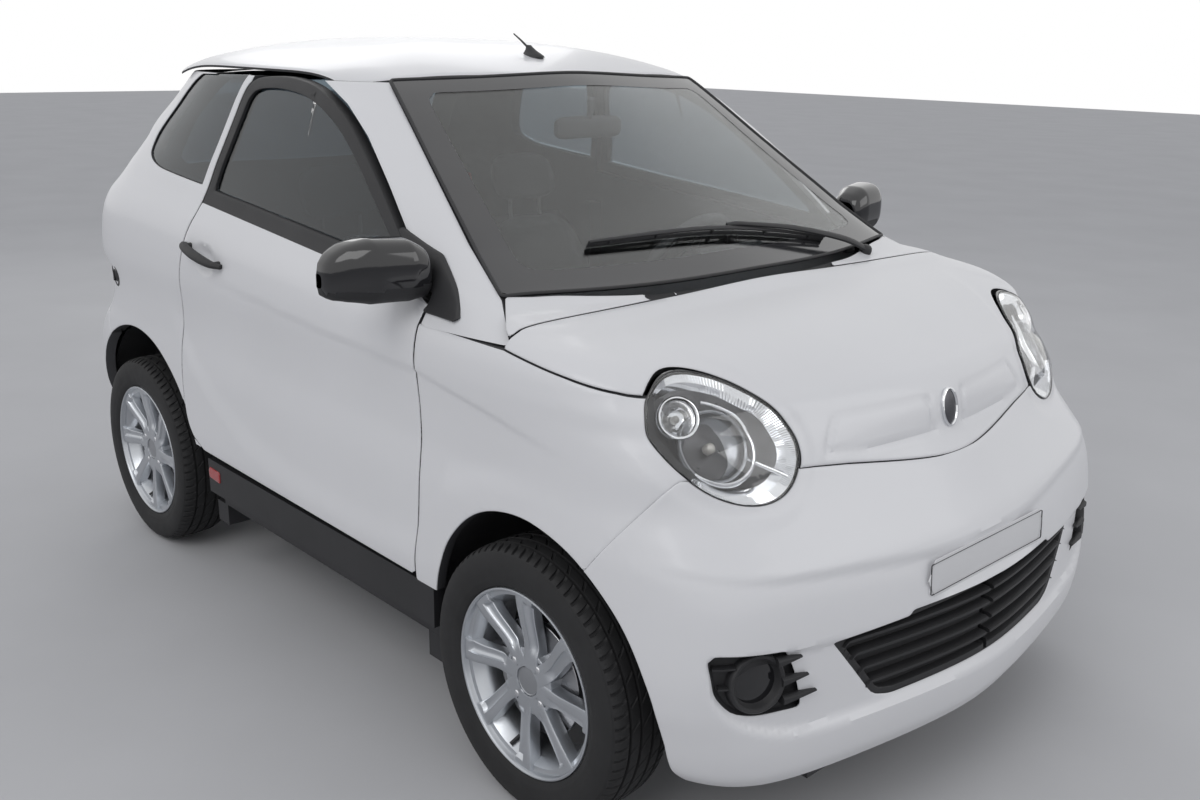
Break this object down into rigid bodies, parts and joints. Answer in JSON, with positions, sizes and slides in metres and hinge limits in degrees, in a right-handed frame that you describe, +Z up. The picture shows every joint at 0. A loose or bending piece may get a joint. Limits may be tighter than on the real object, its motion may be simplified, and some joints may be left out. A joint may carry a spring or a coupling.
{
  "type": "microcar",
  "caption": "Small two-seat three-door microcar with opening doors, hood and tailgate, steered front wheels and four turning wheels.",
  "frame": {"origin": "middle of the bounding box on the ground under the tyres", "axes": "+X forward to the nose, +Y to the car's left, +Z up"},
  "size_m": [2.7582, 1.798, 1.4904],
  "materials": {
    "paint_white": "gloss white moulded body colour",
    "gloss_black": "gloss black",
    "black_plastic": "grained matt black plastic",
    "dark_trim": "dark grey cabin plastic",
    "seat_fabric": "dark woven seat cloth",
    "frame_metal": "bare frame tubes",
    "floor_panel": "dark coated floor sandwich",
    "engine_metal": "cast engine and gearbox block",
    "steel_parts": "suspension steel",
    "clear_glass": "clear window glass",
    "tinted_glass": "tinted side and rear glass",
    "lens_clear": "clear lamp cover",
    "lamp_chrome": "bright lamp reflector",
    "lens_red": "red tail lamp",
    "tyre_rubber": "black tyre",
    "alloy": "silver painted alloy",
    "emblem_chrome": "polished oval"
  },
  "bodies": {
    "car_body": {"fenders": "paint_white", "windscreen": "clear_glass", "cowl_panel": "black_plastic", "roof_panel": "paint_white", "rear_quarters": "paint_white", "quarter_glass": "tinted_glass", "tail_lamps": "lens_red", "front_bumper": "paint_white", "rear_bumper": "paint_white", "bumper_grilles": "black_plastic", "headlamp_lenses": "lens_clear", "headlamp_bowls": "lamp_chrome", "floor_pan": "floor_panel", "chassis_frame": "frame_metal", "engine_block": "engine_metal", "sill_trims": "black_plastic", "dashboard": "dark_trim", "seats": "seat_fabric", "wheel_liners": "black_plastic", "front_suspension": "steel_parts", "rear_axle": "steel_parts", "antenna": "black_plastic", "wiper": "black_plastic", "sills_and_posts": "frame_metal"},
    "door_right": {"door_panel_right": "paint_white", "door_frame_right": "black_plastic", "door_glass_right": "tinted_glass", "mirror_right": "gloss_black"},
    "door_left": {"door_panel_left": "paint_white", "door_frame_left": "black_plastic", "door_glass_left": "tinted_glass", "mirror_left": "gloss_black"},
    "hood": {"hood_panel": "paint_white", "hood_emblem": "emblem_chrome"},
    "tailgate": {"tailgate_panel": "paint_white", "tailgate_glass": "tinted_glass"},
    "knuckle_right": {"knuckle_right": "steel_parts"},
    "knuckle_left": {"knuckle_left": "steel_parts"},
    "wheel_fr": {"tyre_fr": "tyre_rubber", "rim_fr": "alloy"},
    "wheel_fl": {"tyre_fl": "tyre_rubber", "rim_fl": "alloy"},
    "wheel_rr": {"tyre_rr": "tyre_rubber", "rim_rr": "alloy"},
    "wheel_rl": {"tyre_rl": "tyre_rubber", "rim_rl": "alloy"},
    "steering_wheel": {"steering_wheel": "dark_trim"}
  },
  "joints": [
    {"name": "door_right_swing", "type": "hinge", "parent": "car_body", "child": "door_right", "pos_m": [0.48, -0.7505, 0.7], "axis": [0, 0, 1], "range_deg": [0, 65]},
    {"name": "door_left_swing", "type": "hinge", "parent": "car_body", "child": "door_left", "pos_m": [0.48, 0.7505, 0.7], "axis": [0, 0, -1], "range_deg": [0, 65]},
    {"name": "hood_swing", "type": "hinge", "parent": "car_body", "child": "hood", "pos_m": [0.742, 0, 0.966], "axis": [0, -1, 0], "range_deg": [0, 50]},
    {"name": "tailgate_swing", "type": "hinge", "parent": "car_body", "child": "tailgate", "pos_m": [-1.034, 0, 1.374], "axis": [0, 1, 0], "range_deg": [0, 75]},
    {"name": "steer_left", "type": "hinge", "parent": "car_body", "child": "knuckle_left", "pos_m": [0.802, 0.662, 0.278], "axis": [0, 0, 1], "range_deg": [-30, 30]},
    {"name": "steer_right", "type": "hinge", "parent": "car_body", "child": "knuckle_right", "pos_m": [0.802, -0.662, 0.278], "axis": [0, 0, 1], "range_deg": [-30, 30]},
    {"name": "wheel_fl_spin", "type": "hinge", "parent": "knuckle_left", "child": "wheel_fl", "pos_m": [0.802, 0.672, 0.278], "axis": [0, 1, 0], "continuous": true},
    {"name": "wheel_fr_spin", "type": "hinge", "parent": "knuckle_right", "child": "wheel_fr", "pos_m": [0.802, -0.672, 0.278], "axis": [0, 1, 0], "continuous": true},
    {"name": "wheel_rl_spin", "type": "hinge", "parent": "car_body", "child": "wheel_rl", "pos_m": [-0.978, 0.66, 0.278], "axis": [0, 1, 0], "continuous": true},
    {"name": "wheel_rr_spin", "type": "hinge", "parent": "car_body", "child": "wheel_rr", "pos_m": [-0.978, -0.66, 0.278], "axis": [0, 1, 0], "continuous": true},
    {"name": "steering_wheel_turn", "type": "hinge", "parent": "car_body", "child": "steering_wheel", "pos_m": [0.205, 0.33, 0.88], "axis": [-0.8829, 0, 0.4695], "range_deg": [-480, 480]}
  ],
  "couplings": [
    {"joint": "steer_right", "follows": "steer_left", "ratio": 1},
    {"joint": "steering_wheel_turn", "follows": "steer_left", "ratio": 16}
  ]
}
